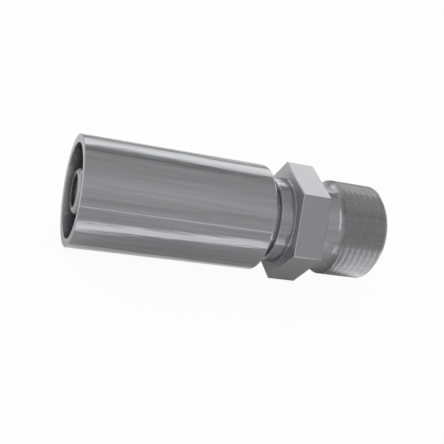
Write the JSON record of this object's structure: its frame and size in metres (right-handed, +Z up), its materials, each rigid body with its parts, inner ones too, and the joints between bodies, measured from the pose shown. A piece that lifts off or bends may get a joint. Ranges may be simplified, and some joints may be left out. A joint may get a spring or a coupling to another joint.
{
  "type": "hydraulic hose fitting",
  "caption": "Crimp hose fitting: a tubular shell over a barbed nipple, a stop collar, a wrench hexagon, a relief neck and a fine male thread with a cone seat.",
  "frame": {"origin": "on the ground below the middle of the fitting, where it lies at rest", "axes": "+X along the axis from the hose mouth to the male end, +Z up, two flats of the hexagon level"},
  "size_m": [0.0958, 0.037, 0.0324],
  "materials": {
    "stem_steel": "fine turned steel, satin",
    "shell_steel": "drawn and turned steel, semi-bright"
  },
  "bodies": {
    "root": {"stem": "stem_steel", "crimp_shell": "shell_steel"}
  },
  "joints": []
}
